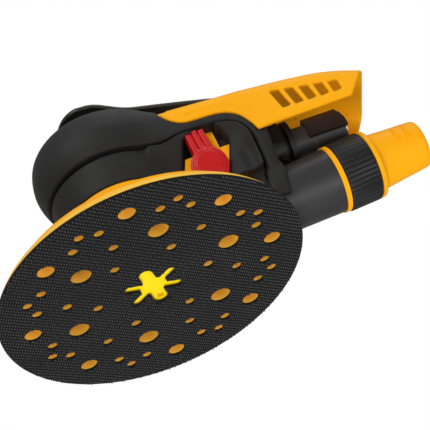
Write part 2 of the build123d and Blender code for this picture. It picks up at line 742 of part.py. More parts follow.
def collar_nut():
    length = COLLAR[1] - COLLAR[0]
    ribs = 44
    with BuildPart() as collar:
        with BuildSketch(tube_axis.offset(COLLAR[0])):
            Circle(COLLAR_R)
            Circle(NECK_THREAD_R + RUN_FIT, mode=Mode.SUBTRACT)
            with PolarLocations(COLLAR_R, ribs):
                Rectangle(0.7, 0.9, mode=Mode.SUBTRACT)
        extrude(amount=length)
    write(collar, "collar_nut")


def nozzle():
    with BuildPart() as spout:
        add(tube_solid(NOZZLE_NECK_R, NOZZLE_NECK_R, -8.0, 17.3))
        add(tube_solid(17.3, 17.0, 17.4, 20.0))
        add(tube_solid(NOZZLE_R[0], NOZZLE_R[1], 17.3, NOZZLE_END))
        for distance, radius in ((33.0, 13.9), (38.5, 13.5)):
            with BuildSketch(tube_axis.offset(distance)):
                Circle(radius)
                with Locations((0, 2.1)):
                    Rectangle(40.0, 6.5, mode=Mode.INTERSECT)
            extrude(amount=1.2)
        add(tube_solid(NOZZLE_BORE_R, NOZZLE_BORE_R, -9.0, NOZZLE_END + 1.0), mode=Mode.SUBTRACT)
        with BuildSketch(tube_axis.offset(-3.6)):
            Circle(14.0)
            Circle(11.95, mode=Mode.SUBTRACT)
        extrude(amount=1.2, mode=Mode.SUBTRACT)
    write(spout, "nozzle")
    with BuildPart() as seal:
        across = tube_axis.x_dir.cross(tube_axis.z_dir)
        with BuildSketch(Plane(origin=tube_axis.offset(-3.0).origin, x_dir=(0, 1, 0), z_dir=across)):
            with Locations((12.46, 0)):
                Circle(0.48)
        revolve(axis=Axis(tube_axis.origin, tube_axis.z_dir))
    write(seal, "nozzle_seal")


# ---------------------------------------------------------------- controls


def throttle_lever():
    middle = [(LEVER_PIN[0] - 1.0, 84.9), (67.0, 90.0), (50.0, 95.3), (33.0, 100.1), (20.0, 103.5)]
    middle += [(8.0, 106.1), (0, 107.1), (-8.0, 107.3), (PADDLE_TIP, 106.1)]
    half = LEVER_T / 2
    with BuildSketch(side_plane) as side:
        with BuildLine():
            Spline(*[(x, z + half) for x, z in middle])
            Line((PADDLE_TIP, middle[-1][1] + half), (PADDLE_TIP, middle[-1][1] - half))
            Spline(*[(x, z - half) for x, z in reversed(middle)])
            Line((middle[0][0], middle[0][1] - half), (middle[0][0], middle[0][1] + half))
        make_face()
    with BuildSketch(Plane.XY) as plan:
        with Locations((1.5, 0)):
            Circle(PADDLE_R)
        with BuildLine():
            Spline((8.0, -PADDLE_R + 1.6), (17.0, -11.6), (26.0, -STRAP_W), tangents=[(1, 0.3), (1, 0)])
            Polyline((26.0, -STRAP_W), (90.0, -STRAP_W), (90.0, STRAP_W), (26.0, STRAP_W))
            Spline((26.0, STRAP_W), (17.0, 11.6), (8.0, PADDLE_R - 1.6), tangents=[(-1, 0), (-1, 0.3)])
            Line((8.0, PADDLE_R - 1.6), (8.0, -PADDLE_R + 1.6))
        make_face()
    with BuildPart() as lever:
        add(block_between(side.sketch, plan.sketch))
        with BuildSketch(side_plane):
            with Locations(LEVER_PIN):
                Circle(LEVER_BOSS_R)
        extrude(amount=STRAP_W, both=True)
        with BuildSketch(side_plane):
            with Locations(LEVER_PIN):
                Circle(PIN_R + RUN_FIT)
        extrude(amount=20.0, both=True, mode=Mode.SUBTRACT)
    write(lever, "throttle_lever")
    with BuildPart() as pin:
        with BuildSketch(side_plane):
            with Locations(LEVER_PIN):
                Circle(PIN_R)
        extrude(amount=13.6, both=True)
    write(pin, "lever_pin")


def valve():
    plane = Plane(origin=(VALVE_X, 0, 0))
    with BuildPart() as stem:
        with BuildSketch(plane.offset(57.0)):
            Circle(1.8)
        extrude(amount=STEM_TOP - 57.0)
        with BuildSketch(plane.offset(55.4)):
            Circle(1.2)
        extrude(amount=2.0)
    write(stem, "valve_stem")
    with BuildPart() as plug:
        with BuildSketch(plane.offset(55.6)):
            Circle(3.9)
            Circle(1.8, mode=Mode.SUBTRACT)
        extrude(amount=2.4)
        with BuildSketch(plane.offset(55.6)):
            Circle(1.8)
            Circle(1.2, mode=Mode.SUBTRACT)
        extrude(amount=1.4)
    write(plug, "valve_plug")
    write(ring(plane, 58.4, 60.6, 2.4, VALVE_BORE_R), "valve_seat")
    write(ring(plane, 70.0, 73.8, 1.85, VALVE_BORE_R), "stem_seal")
    with BuildPart() as spring:
        with BuildLine(plane.offset(47.9)):
            coil = Helix(pitch=1.75, height=7.0, radius=2.7)
        with BuildSketch(Plane(origin=coil @ 0, z_dir=coil % 0)):
            Circle(0.45)
        sweep()
    write(spring, "valve_spring")


def speed_lever():
    x, z = SPEED_AXIS
    back = SHELL_W + 0.9
    with BuildPart() as lever:
        with BuildSketch(side_plane.offset(back)):
            with Locations((x, z)):
                Circle(9.3)
            with Locations((x, z)):
                with Locations(Rotation(0, 0, SPEED_REST)):
                    with Locations((0, 10.4)):
                        Rectangle(9.0, 20.8)
        extrude(amount=3.2)
        with BuildSketch(side_plane.offset(back + 3.2)):
            with Locations((x, z)):
                Circle(8.4)
                with Locations(Rotation(0, 0, SPEED_REST)):
                    for offset, length in zip((-3.2, 0.0, 3.2), SPEED_REACH):
                        with Locations((offset, length / 2)):
                            Rectangle(2.3, length)
        extrude(amount=2.4)
        with BuildSketch(side_plane.offset(back + 5.6)):
            with Locations((x, z)):
                Circle(7.6)
        extrude(amount=1.2)
    write(lever, "speed_lever")
    with BuildPart() as spool:
        with BuildSketch(side_plane.offset(8.6)):
            with Locations((x, z)):
                Circle(SPOOL_R)
        extrude(amount=back - 8.6)
        with BuildSketch(Plane(origin=(x - 10.0, -14.0, z), x_dir=(0, 1, 0), z_dir=(1, 0, 0))):
            Circle(1.8)
        extrude(amount=20.0, mode=Mode.SUBTRACT)
    write(spool, "speed_spool")


# ---------------------------------------------------------------- air inlet and muffler


def inlet():
    write(ring(inlet_axis, 70.0, BUSHING_X - 1.3, 3.8, 4.98), "inlet_tube")
    write(ring(inlet_axis, NECK_END + 0.1, 91.4, 5.0, INLET_R), "inlet_sleeve")
    liner_r = INLET_R - 0.85
    write(ring(inlet_axis, 91.9, 101.9, liner_r + 0.05, INLET_R), "muffler_body")
    write(ring(inlet_axis, 91.9, BUSHING_X - 1.4, 5.05, liner_r), "muffler_felt")
    write(ring(inlet_axis, 102.4, INLET_END, liner_r + 0.05, INLET_R), "muffler_cap")
    write(ring(inlet_axis, BUSHING_X, INLET_END + 0.6, THREAD_R, liner_r), "inlet_bushing")
    with BuildPart() as screen:
        with BuildSketch(inlet_axis.offset(BUSHING_X - 0.7)):
            Circle(liner_r)
            with GridLocations(1.9, 1.9, 5, 5):
                Circle(0.6, mode=Mode.SUBTRACT)
        extrude(amount=0.5)
    write(screen, "inlet_screen")
    with BuildPart() as knurl:
        with BuildSketch(inlet_axis.offset(KNURL_X[0])):
            Circle(KNURL_R)
            Circle(INLET_R + 0.02, mode=Mode.SUBTRACT)
            with PolarLocations(KNURL_R, 52):
                Rectangle(0.6, 0.8, mode=Mode.SUBTRACT)
        extrude(amount=KNURL_X[1] - KNURL_X[0])
    write(knurl, "knurled_ring")


def muffler_cover():
    half, shoulder, low, top = 8.6, 58.2, 49.6, 63.2
    with BuildPart() as cover:
        with BuildSketch(Plane(origin=(99.4, 0, 0), x_dir=(0, 1, 0), z_dir=(1, 0, 0))):
            with BuildLine():
                Polyline((-half, low), (half, low), (half, shoulder), (5.4, top))
                Polyline((5.4, top), (-5.4, top), (-half, shoulder), (-half, low))
            make_face()
        extrude(amount=20.0)
        with BuildSketch(side_plane):
            with BuildLine():
                Polyline((117.4, 70.0), (117.4, shoulder + 2.0), (119.4, 54.0), (125.0, 54.0))
                Polyline((125.0, 54.0), (125.0, 70.0), (117.4, 70.0))
            make_face()
        extrude(amount=20.0, both=True, mode=Mode.SUBTRACT)
        with BuildSketch(inlet_axis.offset(90.0)):
            Circle(INLET_R + 0.02)
        extrude(amount=40.0, mode=Mode.SUBTRACT)
    write(cover, "muffler_cover")


def inlet_clamp():
    ear_end = 5.0
    with BuildPart() as clamp:
        add(box_between((CLAMP_X[0], -10.0, 51.4), (CLAMP_X[1], 10.0, 64.6)))
        add(box_between((81.6, -ear_end, 41.8), (85.6, ear_end, 48.0)))
        with BuildSketch(inlet_axis.offset(CLAMP_X[0])):
            Circle(INLET_R + 1.8)
        extrude(amount=CLAMP_X[1] - CLAMP_X[0])
        with BuildSketch(inlet_axis.offset(70.0)):
            Circle(INLET_R + 0.01)
        extrude(amount=30.0, mode=Mode.SUBTRACT)
        add(box_between((70, -1.0, 40.0), (90, 1.0, INLET_Z)), mode=Mode.SUBTRACT)
        with BuildSketch(side_plane):
            with Locations(CLAMP_SCREW):
                Circle(CLAMP_SCREW_R)
        extrude(amount=20.0, both=True, mode=Mode.SUBTRACT)
    write(clamp, "inlet_clamp")


def clamp_screw():
    ear_end = 5.0
    with BuildPart() as screw:
        with BuildSketch(side_plane):
            with Locations(CLAMP_SCREW):
                Circle(CLAMP_SCREW_R)
        extrude(amount=ear_end, both=True)
        with BuildSketch(side_plane.offset(ear_end)):
            with Locations(CLAMP_SCREW):
                Circle(1.6)
        extrude(amount=1.6)
        with Locations((CLAMP_SCREW[0], -ear_end - 1.6, CLAMP_SCREW[1])):
            Box(3.2, 1.2, 0.6, mode=Mode.SUBTRACT)
    write(screw, "clamp_screw")


def main():
    hook_face()
    pad_foam()
    backing_plate()
    pad_stud()
    pad_spindle()
    bearings()
    balancer_shaft()
    motor_rotor()
    motor_plates()
    motor_cylinder()
    cover = hood()
    hood_screws()
    lower_shell(palm_grip(cover))
    motor_housing()
    shroud()
    dust_tube()
    collar_nut()
    nozzle()
    throttle_lever()
    valve()
    speed_lever()
    inlet()
    muffler_cover()
    inlet_clamp()
    clamp_screw()


main()
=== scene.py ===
import math

import bmesh
import bpy
import numpy as np
from mathutils import Matrix, Vector


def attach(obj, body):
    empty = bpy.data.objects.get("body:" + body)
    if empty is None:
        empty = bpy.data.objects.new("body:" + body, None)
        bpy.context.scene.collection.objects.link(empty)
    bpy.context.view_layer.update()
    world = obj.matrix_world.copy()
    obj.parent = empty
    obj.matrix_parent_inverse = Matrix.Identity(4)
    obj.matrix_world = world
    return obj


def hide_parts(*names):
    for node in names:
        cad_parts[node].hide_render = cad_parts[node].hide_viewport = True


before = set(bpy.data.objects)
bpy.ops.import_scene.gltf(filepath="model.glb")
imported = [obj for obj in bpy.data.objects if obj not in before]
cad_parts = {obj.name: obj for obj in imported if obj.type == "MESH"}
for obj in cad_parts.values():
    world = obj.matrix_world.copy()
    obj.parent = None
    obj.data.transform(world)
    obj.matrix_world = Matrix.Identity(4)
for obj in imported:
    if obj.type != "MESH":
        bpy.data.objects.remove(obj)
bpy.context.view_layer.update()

MM = 0.001
link = bpy.context.scene.collection.objects.link


# ---------------------------------------------------------------- camera, light and floor

CAMERA_PLACE = Vector((-0.0685, -0.5952, -0.3970))
CAMERA_TURN = 10.44  # degrees from +Y towards +X
CAMERA_RISE = 35.18  # degrees above the horizon that it looks
CAMERA_ROLL = -25.3


def camera_axes():
    """Right, up and forward of a camera that looks up at the tool's underside, rolled."""
    turn, rise, roll = (math.radians(a) for a in (CAMERA_TURN, CAMERA_RISE, CAMERA_ROLL))
    forward = Vector((math.sin(turn) * math.cos(rise), math.cos(turn) * math.cos(rise), math.sin(rise)))
    level = forward.cross(Vector((0, 0, 1))).normalized()
    over = level.cross(forward)
    right = math.cos(roll) * level + math.sin(roll) * over
    return right, right.cross(forward), forward


def make_camera():
    right, up, forward = camera_axes()
    data = bpy.data.cameras.new("camera")
    data.lens = 128.8
    data.sensor_width = 36.0
    data.clip_start = 0.01
    camera = bpy.data.objects.new("camera", data)
    aim = Matrix((right, up, -forward)).transposed().to_4x4()
    camera.matrix_world = Matrix.Translation(CAMERA_PLACE) @ aim
    link(camera)
    bpy.context.scene.camera = camera


def area_light(name, place, size, power, target=(0.03, 0.0, 0.05)):
    data = bpy.data.lights.new(name, "AREA")
    data.shape = "DISK"
    data.size = size
    data.energy = power
    lamp = bpy.data.objects.new(name, data)
    lamp.location = place
    lamp.rotation_euler = (Vector(target) - Vector(place)).to_track_quat("-Z", "Y").to_euler()
    link(lamp)


def make_world(ambient, backdrop):
    """A white surround: one strength lights the tool and another is what the camera sees."""
    world = bpy.data.worlds.new("surround")
    world.use_nodes = True
    bpy.context.scene.world = world
    nodes, links = world.node_tree.nodes, world.node_tree.links
    nodes.clear()
    seen, lit = nodes.new("ShaderNodeBackground"), nodes.new("ShaderNodeBackground")
    seen.inputs["Strength"].default_value = backdrop
    lit.inputs["Strength"].default_value = ambient
    for shade in (seen, lit):
        shade.inputs["Color"].default_value = (1.0, 1.0, 1.0, 1.0)
    path, mix = nodes.new("ShaderNodeLightPath"), nodes.new("ShaderNodeMixShader")
    out = nodes.new("ShaderNodeOutputWorld")
    links.new(path.outputs["Is Camera Ray"], mix.inputs[0])
    links.new(lit.outputs[0], mix.inputs[1])
    links.new(seen.outputs[0], mix.inputs[2])
    links.new(mix.outputs[0], out.inputs[0])


def make_studio():
    right, up, forward = camera_axes()
    centre = Vector((0.03, 0.0, 0.05))
    make_world(0.30, 1.0)
    area_light("key", centre - forward * 0.7 - right * 0.75 + up * 0.75, 0.6, 7.6)
    area_light("fill", centre - forward * 0.9 + right * 0.8 + up * 0.1, 0.8, 4.2)
    area_light("front", centre - forward * 1.1 - up * 0.15, 0.5, 1.6)
    area_light("top", centre + up * 1.0 + forward * 0.35, 0.6, 2.6)
    area_light("low", centre - forward * 0.6 - up * 0.9, 0.9, 8.0)
    mesh = bpy.data.meshes.new("floor")
    shape = bmesh.new()
    bmesh.ops.create_grid(shape, x_segments=1, y_segments=1, size=6.0)
    shape.to_mesh(mesh)
    shape.free()
    floor = bpy.data.objects.new("floor", mesh)
    floor.location = (0, 0, -1.7)
    mesh.materials.append(plastic("floor_paint", (0.85, 0.85, 0.84), 0.7, grain=4.0, depth=0.0002))
    link(floor)


# ---------------------------------------------------------------- materials


class Surface:
    """A material being put together: a Principled shader and the nodes that feed it."""

    def __init__(self, name, roughness=0.5, metallic=0.0, specular=0.5, sheen=0.0):
        self.material = bpy.data.materials.new(name)
        self.material.use_nodes = True
        self.nodes, self.links = self.material.node_tree.nodes, self.material.node_tree.links
        self.shader = self.nodes["Principled BSDF"]
        self.shader.inputs["Roughness"].default_value = roughness
        self.shader.inputs["Metallic"].default_value = metallic
        self.shader.inputs["Specular IOR Level"].default_value = specular
        self.shader.inputs["Sheen Weight"].default_value = sheen
        self.place = self.nodes.new("ShaderNodeTexCoord").outputs["Object"]

    def node(self, kind, **settings):
        made = self.nodes.new(kind)
        for key, value in settings.items():
            setattr(made, key, value)
        return made

    def join(self, source, socket):
        self.links.new(source, socket)

    def noise(self, per_metre, detail=3.0, rough=0.5, stretch=(1, 1, 1)):
        """Noise from 0 to 1, with about that many blobs in a metre."""
        scale = self.node("ShaderNodeMapping")
        scale.inputs["Scale"].default_value = stretch
        self.join(self.place, scale.inputs["Vector"])
        made = self.node("ShaderNodeTexNoise")
        made.inputs["Scale"].default_value = per_metre
        made.inputs["Detail"].default_value = detail
        made.inputs["Roughness"].default_value = rough
        self.join(scale.outputs[0], made.inputs["Vector"])
        return made.outputs["Fac"]

    def cells(self, per_metre):
        made = self.node("ShaderNodeTexVoronoi", feature="F1")
        made.inputs["Scale"].default_value = per_metre
        self.join(self.place, made.inputs["Vector"])
        return made.outputs["Distance"]

    def ramp(self, value, *stops):
        """Colours along a value: each stop is (position, colour)."""
        made = self.node("ShaderNodeValToRGB")
        stops_there = made.color_ramp.elements
        for index, (position, colour) in enumerate(stops):
            if index >= len(stops_there):
                stops_there.new(position)
            stops_there[index].position = position
            stops_there[index].color = (*colour, 1.0)
        self.join(value, made.inputs[0])
        return made.outputs["Color"]

    def levels(self, value, low, high, source=(0.0, 1.0)):
        made = self.node("ShaderNodeMapRange")
        made.inputs["From Min"].default_value, made.inputs["From Max"].default_value = source
        made.inputs["To Min"].default_value, made.inputs["To Max"].default_value = low, high
        self.join(value, made.inputs["Value"])
        return made.outputs["Result"]

    def mix(self, first, second, factor):
        made = self.node("ShaderNodeMix", data_type="RGBA")
        for socket, value in ((made.inputs[0], factor), (made.inputs[6], first), (made.inputs[7], second)):
            if hasattr(value, "is_output"):
                self.join(value, socket)
            elif isinstance(value, tuple):
                socket.default_value = (*value, 1.0)
            else:
                socket.default_value = value
        return made.outputs[2]

    def bump(self, height, distance, strength=1.0):
        """Adds a height, in metres, on top of any bump that is there already."""
        made = self.node("ShaderNodeBump")
        made.inputs["Distance"].default_value = distance
        made.inputs["Strength"].default_value = strength
        self.join(height, made.inputs["Height"])
        normal = self.shader.inputs["Normal"]
        if normal.is_linked:
            self.join(normal.links[0].from_socket, made.inputs["Normal"])
        self.join(made.outputs[0], normal)

    def colour(self, source):
        self.join(source, self.shader.inputs["Base Color"])

    def roughness(self, source):
        self.join(source, self.shader.inputs["Roughness"])


def shade(colour, factor):
    return tuple(min(1.0, c * factor) for c in colour)


def plastic(name, colour, rough=0.45, grain=2600.0, depth=0.00003, spread=0.10, specular=0.5):
    """Moulded plastic with a fine spark-eroded grain, slight clouding and rubbed patches."""
    made = Surface(name, rough, specular=specular)
    clouds = made.noise(38.0, 4.0)
    grit = made.noise(grain, 2.0)
    tone = made.ramp(clouds, (0.30, shade(colour, 1 - spread)), (0.72, shade(colour, 1 + spread)))
    made.colour(made.mix(tone, shade(colour, 1 - 1.5 * spread), made.levels(grit, 0.0, 0.5, (0.45, 0.8))))
    made.roughness(made.levels(made.noise(120.0, 5.0), rough - 0.07, rough + 0.09))
    made.bump(grit, depth, 0.6)
    return made.material


def rubber(name, colour, rough=0.62):
    """Overmoulded rubber: a matt skin with pale speckles in a fine leathery grain."""
    made = Surface(name, rough, specular=0.34, sheen=0.03)
    grit = made.noise(3200.0, 3.0, 0.65)
    tone = made.ramp(made.noise(26.0, 3.0), (0.3, shade(colour, 0.82)), (0.7, shade(colour, 1.15)))
    made.colour(made.mix(tone, shade(colour, 2.4), made.levels(grit, 0.0, 0.8, (0.56, 0.76))))
    made.roughness(made.levels(made.noise(200.0, 4.0), rough - 0.06, rough + 0.08))
    made.bump(grit, 0.00007, 0.7)
    return made.material


def metal(name, colour, rough=0.28, lines=(1, 1, 14)):
    """Turned or ground metal, with fine lines round it."""
    made = Surface(name, rough, metallic=1.0)
    streaks = made.noise(900.0, 3.0, 0.6, lines)
    made.colour(made.ramp(streaks, (0.3, shade(colour, 0.82)), (0.7, shade(colour, 1.1))))
    made.roughness(made.levels(streaks, rough - 0.08, rough + 0.12))
    made.bump(streaks, 0.00002, 0.5)
    return made.material


def foam(name, colour):
    """Moulded polyurethane foam: a skin with pores, each painted darker towards its middle as painted shade
    in its hollow.
    """
    made = Surface(name, 0.78, specular=0.25)
    pores = made.cells(1500.0)
    tone = made.ramp(made.noise(60.0, 4.0), (0.3, shade(colour, 0.92)), (0.7, shade(colour, 1.06)))
    # painted shade: the colour darkens towards each pore's middle, where the bump below sinks the skin
    made.colour(made.mix(tone, shade(colour, 0.72), made.levels(pores, 0.55, 0.0, (0.0, 0.28))))
    made.bump(pores, 0.00012, 0.7)
    return made.material


def cloth(name, colour, pitch=1500.0):
    made = Surface(name, 0.9, specular=0.12, sheen=0.06)
    fuzz = made.noise(pitch, 4.0, 0.7)
    made.colour(made.ramp(fuzz, (0.35, shade(colour, 0.6)), (0.65, shade(colour, 1.5))))
    made.bump(fuzz, 0.0003, 0.8)
    return made.material


YELLOW = (1.0, 0.43, 0.004)


def make_materials():
    return {
        "yellow_plastic": plastic("yellow_plastic", YELLOW, 0.5, spread=0.03, specular=0.1),
        "grip_rubber": rubber("grip_rubber", (0.009, 0.0095, 0.0095)),
        "tube_grey": plastic("tube_grey", (0.022, 0.022, 0.024), 0.40, depth=0.00002),
        "black_plastic": plastic("black_plastic", (0.009, 0.009, 0.009), 0.46, specular=0.35),
        "muffler_grey": plastic("muffler_grey", (0.028, 0.029, 0.030), 0.5),
        "muffler_brown": plastic("muffler_brown", (0.016, 0.010, 0.009), 0.5),
        "paddle_black": plastic("paddle_black", (0.012, 0.011, 0.010), 0.42),
        "pad_foam": foam("pad_foam", (1.0, 0.56, 0.06)),
        "pad_plate": plastic("pad_plate", (1.0, 0.72, 0.0), 0.5, spread=0.04, specular=0.3),
        "pad_fleece": cloth("pad_fleece", (0.005, 0.005, 0.0055)),
        "hook_fibre": plastic("hook_fibre", (0.11, 0.11, 0.114), 0.38, spread=0.25, specular=0.6),
        "red_lever": plastic("red_lever", (0.54, 0.005, 0.006), 0.36, spread=0.05, specular=0.35),
        "screw_steel": metal("screw_steel", (0.62, 0.62, 0.63)),
        "dark_steel": metal("dark_steel", (0.07, 0.07, 0.07), 0.4),
        "bearing_steel": metal("bearing_steel", (0.66, 0.66, 0.67), 0.2),
        "light_alloy": metal("light_alloy", (0.78, 0.78, 0.79), 0.34),
        "brass_seat": metal("brass_seat", (0.80, 0.60, 0.25), 0.25),
        "seal_rubber": rubber("seal_rubber", (0.015, 0.015, 0.015), 0.5),
        "felt": cloth("felt", (0.45, 0.43, 0.38), 900.0),
        "vane_composite": plastic("vane_composite", (0.20, 0.12, 0.06), 0.55),
    }


FINISHES = {
    "yellow_plastic": "hood motor_housing shroud nozzle tube_ring backing_plate",
    "grip_rubber": "palm_grip lower_shell",
    "tube_grey": "dust_tube",
    "black_plastic": "collar_nut inlet_clamp knurled_ring inlet_sleeve",
    "muffler_grey": "muffler_body muffler_cap",
    "muffler_brown": "muffler_cover",
    "paddle_black": "throttle_lever",
    "pad_foam": "pad_foam",
    "pad_plate": "star_hub",
    "pad_fleece": "hook_face",
    "red_lever": "speed_lever",
    "screw_steel": (
        "hood_screws lever_pin shaft_snap_ring spindle_retainer wave_washer cylinder_dowel "
        "rotor_key valve_spring valve_stem inlet_screen inlet_bushing"
    ),
    "dark_steel": "clamp_screw",
    "bearing_steel": (
        "front_bearing rear_bearing spindle_bearing_lower spindle_bearing_upper "
        "pad_stud spindle_spacer pad_spindle balancer_shaft motor_cylinder"
    ),
    "light_alloy": "front_endplate rear_endplate motor_rotor motor_lock_ring inlet_tube",
    "brass_seat": "valve_seat",
    "seal_rubber": "brake_seal stem_seal nozzle_seal valve_plug",
    "felt": "muffler_felt",
    "vane_composite": "rotor_vanes speed_spool",
}


def dress(node, material):
    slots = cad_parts[node].data.materials
    slots.clear()
    slots.append(material)


# ---------------------------------------------------------------- shells from distance fields

# Each moulded shell is a field of signed distances in millimetres, negative inside the shell,
# on an even grid. Fields are joined with rounded seams, and the zero level becomes the mesh.


def through(points, pieces=10):
    """A smooth curve through points in two coordinates, as a list of points."""
    p = np.array(points, float)
    before, after = 2 * p[0] - p[1], 2 * p[-1] - p[-2]
    p = np.vstack([before, p, after])
    t = np.linspace(0, 1, pieces, endpoint=False)[:, None]
    runs = []
    for a, b, c, d in zip(p[:-3], p[1:-2], p[2:-1], p[3:]):
        runs.append(b + 0.5 * t * (c - a + t * (2 * a - 5 * b + 4 * c - d + t * (3 * (b - c) + d - a))))
    return [tuple(q) for q in np.vstack(runs)] + [tuple(p[-2])]


def outline_field(points, u, v):
    """Signed distance from each place (u, v) to a closed outline."""
    nearest = np.full(np.broadcast(u, v).shape, np.inf)
    inside = np.zeros(nearest.shape, bool)
    for (au, av), (bu, bv) in zip(points, points[1:] + points[:1]):
        du, dv = bu - au, bv - av
        length = du * du + dv * dv
        if length == 0:
            continue
        t = np.clip(((u - au) * du + (v - av) * dv) / length, 0, 1)
        nearest = np.minimum(nearest, (u - au - t * du) ** 2 + (v - av - t * dv) ** 2)
        if dv != 0:
            inside ^= ((av > v) != (bv > v)) & (u < du * (v - av) / dv + au)
    return np.where(inside, -1, 1) * np.sqrt(nearest)


def join(a, b, round_by=0.0):
    """Both fields' solids, with a fillet where they meet."""
    if round_by == 0:
        return np.minimum(a, b)
    overlap = np.maximum(round_by - np.abs(a - b), 0) / round_by
    return np.minimum(a, b) - overlap * overlap * round_by / 4


def common(a, b, round_by=0.0):
    return -join(-a, -b, round_by)


def cut(a, b, round_by=0.0):
    """The first field's solid without the second's."""
    return -join(-a, b, round_by)


def ease(value, start, end):
    """0 before start, 1 past end and a smooth climb between."""
    t = np.clip((value - start) / (end - start), 0, 1)
    return t * t * (3 - 2 * t)


class Space:
    """An even grid over a box, in millimetres."""

    def __init__(self, low, high, step):
        self.low, self.step = np.array(low, float), step
        x, y, z = (np.arange(a, b + step, step, dtype=np.float32) for a, b in zip(low, high))
        self.x, self.y, self.z = x[:, None, None], y[None, :, None], z[None, None, :]

    def side(self, points):
        """A solid with an outline in X and Z, endless along Y."""
        flat = outline_field(points, self.x[:, 0, :], self.z[0, :, :])
        return flat.astype(np.float32)[:, None, :]

    def box(self, low, high):
        sides = [np.maximum(a - c, c - b) for a, b, c in zip(low, high, (self.x, self.y, self.z))]
        return np.maximum(np.maximum(sides[0], sides[1]), sides[2])

    def lathe(self, points):
        """A turned solid round Z: the outline is in radius and Z."""
        radius = np.hypot(self.x, self.y)[:, :, 0]
        rings = np.arange(0, radius.max() + 2 * self.step, self.step / 2)
        table = outline_field(points, rings[:, None], self.z[0, :, :]).astype(np.float32)
        place = radius / (self.step / 2)
        index = place.astype(int)
        share = (place - index)[:, :, None].astype(np.float32)
        return table[index] * (1 - share) + table[index + 1] * share

    def rod(self, place, direction, radius, start=-999.0, end=999.0):
        """A round bar along a line, from start to end."""
        d = np.array(direction, float) / np.linalg.norm(direction)
        gap = [c - p for c, p in zip((self.x, self.y, self.z), place)]
        along = sum(g * k for g, k in zip(gap, d))
        across = np.sqrt(np.maximum(sum(g * g for g in gap) - along * along, 0))
        return np.maximum(across - radius, np.maximum(start - along, along - end))


def skin(field, low, step):
    """Quads along a field's zero level, with one corner in each cell that it crosses."""
    nx, ny, nz = field.shape
    solid = field < 0
    units = np.eye(3, dtype=int)
    places = [(i, j, k) for i in (0, 1) for j in (0, 1) for k in (0, 1)]
    count = sum(solid[i : nx - 1 + i, j : ny - 1 + j, k : nz - 1 + k].astype(np.int8) for i, j, k in places)
    cells = np.argwhere((count > 0) & (count < 8))
    total, hits = np.zeros((len(cells), 3)), np.zeros(len(cells))
    for axis in range(3):
        first, second = units[(axis + 1) % 3], units[(axis + 2) % 3]
        for offset in (0 * first, first, second, first + second):
            start = field[tuple((cells + offset).T)]
            end = field[tuple((cells + offset + units[axis]).T)]
            crossed = (start < 0) != (end < 0)
            t = np.where(crossed, start / np.where(crossed, start - end, 1), 0)
            total += crossed[:, None] * (offset + t[:, None] * units[axis])
            hits += crossed
    corners = low + step * (cells + total / hits[:, None])
    number = np.full((nx - 1, ny - 1, nz - 1), -1)
    number[tuple(cells.T)] = np.arange(len(cells))
    quads = []
    for axis in range(3):
        first, second = units[(axis + 1) % 3], units[(axis + 2) % 3]
        start = [slice(1, n - 1) for n in field.shape]
        end = list(start)
        start[axis], end[axis] = slice(0, field.shape[axis] - 1), slice(1, field.shape[axis])
        here, there = solid[tuple(start)], solid[tuple(end)]
        at = np.argwhere(here != there)
        shift = np.array([1, 1, 1]) - units[axis]
        point = at + shift
        ring = [number[tuple((point - offset).T)] for offset in (0 * first, first, first + second, second)]
        quad = np.stack(ring, axis=1)
        leaving = here[tuple(at.T)]
        quad[~leaving] = quad[~leaving][:, ::-1]
        quads.append(quad)
    return corners, np.vstack(quads)


def shell_piece(name, field, space, body, node, material, keep=0.4, smooth=2):
    """Makes a field's skin into a piece that stands for a CAD node."""
    corners, quads = skin(np.ascontiguousarray(field, np.float32), space.low, space.step)
    mesh = bpy.data.meshes.new(name)
    mesh.from_pydata((corners * MM).tolist(), [], quads.tolist())
    piece = bpy.data.objects.new(name, mesh)
    link(piece)
    soften = piece.modifiers.new("soften", "SMOOTH")
    soften.factor, soften.iterations = 0.5, smooth
    thin = piece.modifiers.new("thin", "DECIMATE")
    thin.ratio = keep
    settle(piece)
    dress_piece(piece, body, (node,), material)
    return piece


def settle(piece):
    """Turns a piece's modifiers into its mesh."""
    view = bpy.context.evaluated_depsgraph_get()
    view.update()
    mesh = bpy.data.meshes.new_from_object(piece.evaluated_get(view))
    piece.modifiers.clear()
    piece.data = mesh
    mesh.shade_smooth()


def dress_piece(piece, body, nodes, material):
    piece.data.materials.clear()
    piece.data.materials.append(materials[material])
    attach(piece, body)
    if nodes:
        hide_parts(*nodes)


# ---------------------------------------------------------------- saddle, head, hood and lower shell

HOUSING_BORE_R = 27.7
GROOVE = (60.4, 62.0)
SADDLE_HALF = 27.5
SADDLE_CORNER = 8.0  # rounding between roof and side
ROOF = ((0.0, 84.2), (12.0, 83.8), (64.0, 80.4), (100.0, 78.9), (121.0, 76.2), (147.0, 67.2))  # x, z
HEAD = ((32.9, 62.0), (35.4, 69.0), (36.2, 76.5), (33.8, 86.0), (26.5, 92.2), (14.0, 96.1), (0.0, 97.0))
HOOD_WAVE = (
    (73.5, 50.3),
    (70.9, 57.2),
    (67.4, 62.8),
    (62.0, 66.4),
    (55.0, 67.8),
    (42.0, 68.6),
    (35.0, 73.4),
    (31.8, 79.0),
)
ARCH = (
    (21.0, 62.0),
    (27.5, 62.0),
    (32.0, 62.5),
    (36.0, 63.3),
    (42.0, 63.6),
    (49.0, 63.6),
    (55.9, 62.9),
    (62.0, 61.2),
    (66.8, 57.3),
    (69.3, 51.5),
    (70.1, 45.0),
    (70.0, 36.0),
    (68.8, 29.0),
    (67.4, 24.0),
)
TUBE_PLACE = (102.8, 0.0, 26.0)
TUBE_AXIS = (0.99705, 0.0, 0.07672)


